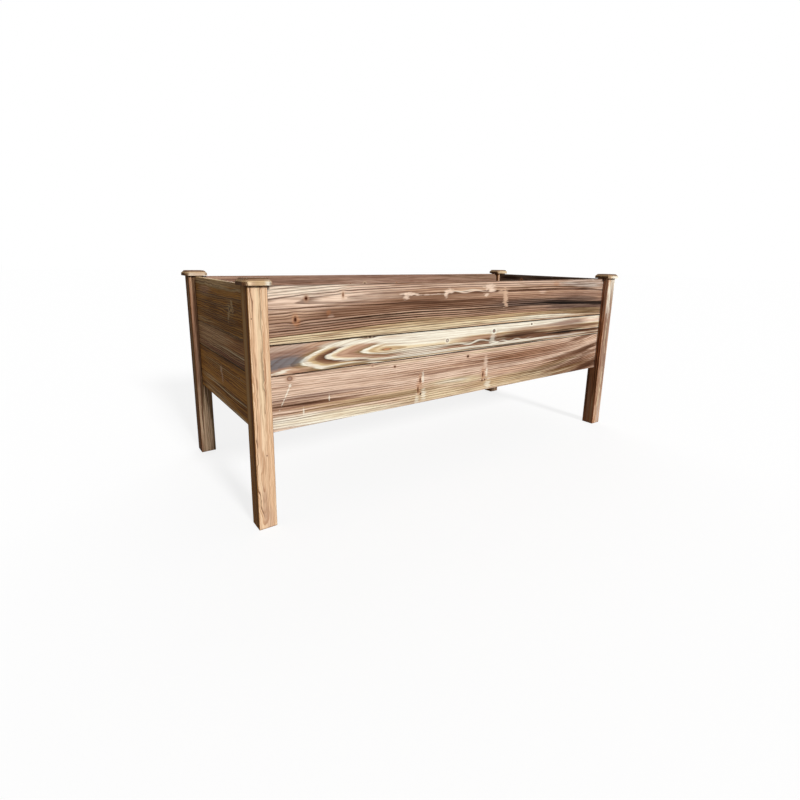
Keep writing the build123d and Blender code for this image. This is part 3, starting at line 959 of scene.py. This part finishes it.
def makeScrew(reach):
    # head up, with the top of its head just above the origin
    shape = screwShape
    deselect()
    bpy.ops.mesh.primitive_circle_add(
        vertices=shape["sides"], radius=shape["tipRadius"], fill_type="NGON", location=(0, 0, -reach)
    )
    piece = bpy.context.object
    bpy.ops.object.transform_apply(location=True, rotation=True, scale=True)
    editMode(piece)
    pickAll("FACE")
    shank = reach - shape["tipHigh"] - shape["headHigh"]
    steps = [
        (shape["tipHigh"], shape["shankRadius"] / shape["tipRadius"]), (shank, 1.0),
        (shape["headHigh"], shape["headRadius"] / shape["shankRadius"]), (shape["proud"], 0.9),
    ]
    for rise, share in steps:
        push(0, 0, rise)
        widen(share)
    bpy.ops.mesh.inset(thickness=shape["recessRim"])
    bpy.ops.mesh.select_mode(type="VERT")
    mesh = bmesh.from_edit_mesh(piece.data)
    lobes = [vert for vert in mesh.verts if vert.select]
    for vert in lobes:
        turn = round(math.atan2(vert.co.y, vert.co.x) / (2 * math.pi / shape["sides"]))
        vert.select_set(turn % 2 == 0)
    mesh.select_flush_mode()
    bmesh.update_edit_mesh(piece.data)
    widen(shape["lobe"])
    pickFaces(piece, lambda c, n: n.z > 0.9 and c.xy.length < 0.2 * mm and c.z > 0)
    push(0, 0, -shape["recessDeep"])
    pickAll("FACE")
    bpy.ops.mesh.normals_make_consistent(inside=False)
    objectMode()
    return piece


def spreadCopies(piece, name, places):
    copies = []
    for spot, outward in places:
        copy = piece.copy()
        copy.data = piece.data.copy()
        turn = Vector((0, 0, 1)).rotation_difference(Vector(outward)).to_matrix().to_4x4()
        copy.data.transform(Matrix.Translation(spot) @ turn)
        bpy.context.collection.objects.link(copy)
        copies.append(copy)
    bpy.data.objects.remove(piece)
    deselect()
    for copy in copies:
        copy.select_set(True)
    bpy.context.view_layer.objects.active = copies[0]
    bpy.ops.object.join()
    joined = bpy.context.object
    joined.name = name
    return joined


def middleOf(box, axis):
    return (box[0][axis] + box[1][axis]) / 2


slatPlaces, cleatPlaces, battenPlaces = [], [], []
for side, sign in (("front", -1), ("back", 1)):
    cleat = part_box("floor_cleat_" + side)
    innerY = cleat[1].y if sign < 0 else cleat[0].y
    for slat in slatBoxes:
        quarter = (slat[1].x - slat[0].x) / 4
        for offset in (-quarter, quarter):
            slatPlaces.append(((middleOf(slat, 0) + offset, middleOf(cleat, 1), slat[1].z), (0, 0, 1)))
    for slat, following in list(zip(slatBoxes, slatBoxes[1:]))[::3]:
        gapMiddle = (slat[1].x + following[0].x) / 2
        cleatPlaces.append(((gapMiddle, innerY, middleOf(cleat, 2)), (0, -sign, 0)))
    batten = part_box("centre_batten_" + side)
    innerY = batten[1].y if sign < 0 else batten[0].y
    for low, high in levels.values():
        height = (max(low * mm, batten[0].z) + min(high * mm, batten[1].z)) / 2
        for offset in (batten[0].x / 2, batten[1].x / 2):
            battenPlaces.append(((offset, innerY, height), (0, -sign, 0)))
for side, sign in (("left", -1), ("right", 1)):
    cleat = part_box("floor_cleat_" + side)
    innerX = cleat[1].x if sign < 0 else cleat[0].x
    apart = (cleat[1].y + 0.5 * mm) * 2 / 3
    for y in (-apart, 0, apart):
        cleatPlaces.append(((innerX, y, middleOf(cleat, 2)), (-sign, 0, 0)))

zinc = steelFinish()
screwPlans = {
    "slat_screws": (44 * mm, slatPlaces), "cleat_screws": (50 * mm, cleatPlaces),
    "batten_screws": (31 * mm, battenPlaces),
}
for node, (reach, places) in screwPlans.items():
    settle(spreadCopies(makeScrew(reach), node + "_zinc", places), node, zinc)
print("screws done:", {node: len(places) for node, (reach, places) in screwPlans.items()})

dowelShape = {"radius": 5 * mm, "ease": 1.2 * mm, "sides": 20}
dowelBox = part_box("cap_dowels")
deselect()
bpy.ops.mesh.primitive_cylinder_add(
    vertices=dowelShape["sides"], radius=dowelShape["radius"], depth=dowelBox[1].z - dowelBox[0].z,
    location=(0, 0, 0),
)
dowel = bpy.context.object
editMode(dowel)
pickEdges(dowel, lambda c, d: abs(d.z) < 0.1)
easeEdges(dowelShape["ease"], 2)
objectMode()
dowelPlaces = []
for corner in corners:
    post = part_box("post_" + corner)
    dowelPlaces.append(((middleOf(post, 0), middleOf(post, 1), middleOf(dowelBox, 2)), (0, 0, 1)))
dowelLook = lookOf(grain="ZXY", seed=211, lines=(3, straw, 0.85), woods=(sap, straw), stagger=2)
dowels = spreadCopies(dowel, "cap_dowels_wood", dowelPlaces)
settle(dowels, "cap_dowels", woodFinish("dowel_grain", dowelLook))
print("dowels done")


# Studio
studio = {
    "cameraPlace": (-1.3294, -1.6712, 0.8248), "yaw": 35.3186, "pitch": -12.6583, "roll": 0.907,
    "lens": 21.005, "sensor": 36.0, "shiftX": 0.00782, "shiftY": -0.04554, "farthest": 200.0,
    "floorSize": 60.0, "floorDrop": 0.4 * mm, "dullFloor": 0.25, "paleSheet": 0.9, "sheetShare": 0.25,
    "glow": 1.06, "skyLight": 0.28,
}
lamps = {
    "keyLight": {"power": 3.0, "softness": 10.0, "tilt": 62.0, "turn": 0.0},
    "rearLight": {"power": 1.1, "softness": 60.0, "tilt": 62.0, "turn": 150.0},
}

cameraData = bpy.data.cameras.new("viewCamera")
cameraData.lens = studio["lens"]
cameraData.sensor_width = studio["sensor"]
cameraData.shift_x = studio["shiftX"]
cameraData.shift_y = studio["shiftY"]
cameraData.clip_end = studio["farthest"]
camera = bpy.data.objects.new("viewCamera", cameraData)
bpy.context.collection.objects.link(camera)
turn = Matrix.Rotation(math.radians(-studio["yaw"]), 4, "Z")
tilt = Matrix.Rotation(math.radians(90 + studio["pitch"]), 4, "X")
roll = Matrix.Rotation(math.radians(studio["roll"]), 4, "Z")
camera.matrix_world = Matrix.Translation(studio["cameraPlace"]) @ turn @ tilt @ roll
bpy.context.scene.camera = camera

for name, lamp in lamps.items():
    lampData = bpy.data.lights.new(name, "SUN")
    lampData.energy = lamp["power"]
    lampData.angle = math.radians(lamp["softness"])
    sun = bpy.data.objects.new(name, lampData)
    sun.rotation_euler = (math.radians(lamp["tilt"]), 0.0, math.radians(lamp["turn"]))
    bpy.context.collection.objects.link(sun)


def seenRays(start):
    # the white backdrop shows to the camera, in metal and through glass
    camera = start.node("LightPath", {}, "Is Camera Ray")
    mirrored = camera.math("MAXIMUM", camera.part("Is Glossy Ray"))
    return mirrored.math("MAXIMUM", camera.part("Is Transmission Ray"))


def grey(level):
    return (level, level, level, 1.0)


deselect()
bpy.ops.mesh.primitive_plane_add(size=studio["floorSize"], location=(0, 0, -studio["floorDrop"]))
floor = bpy.context.object
floor.name = "studioFloor"
floorMaterial, paper = newMaterial("studioFloor")
paper.tree.nodes.clear()
rays = seenRays(paper)
dull = paper.node("BsdfDiffuse", {"Color": grey(studio["dullFloor"])})
paleSheet = paper.node("BsdfDiffuse", {"Color": grey(studio["paleSheet"])})
whiteGlow = paper.node("Emission", {"Color": grey(1.0), "Strength": studio["glow"]})
paleFloor = paper.node("MixShader", {0: studio["sheetShare"], 1: whiteGlow, 2: paleSheet})
wholeFloor = paper.node("MixShader", {0: rays, 1: dull, 2: paleFloor})
wholeFloor.into(paper.tree.nodes.new("ShaderNodeOutputMaterial"), "Surface")
floor.data.materials.append(floorMaterial)

world = bpy.data.worlds.new("studioWorld")
world.use_nodes = True
bpy.context.scene.world = world
background = world.node_tree.nodes["Background"]
background.inputs["Color"].default_value = grey(1.0)
skyLight = seenRays(Wire(world.node_tree)) * (1.0 - studio["skyLight"]) + studio["skyLight"]
skyLight.into(background, "Strength")

bpy.context.scene.view_settings.view_transform = "Standard"
print("studio done")
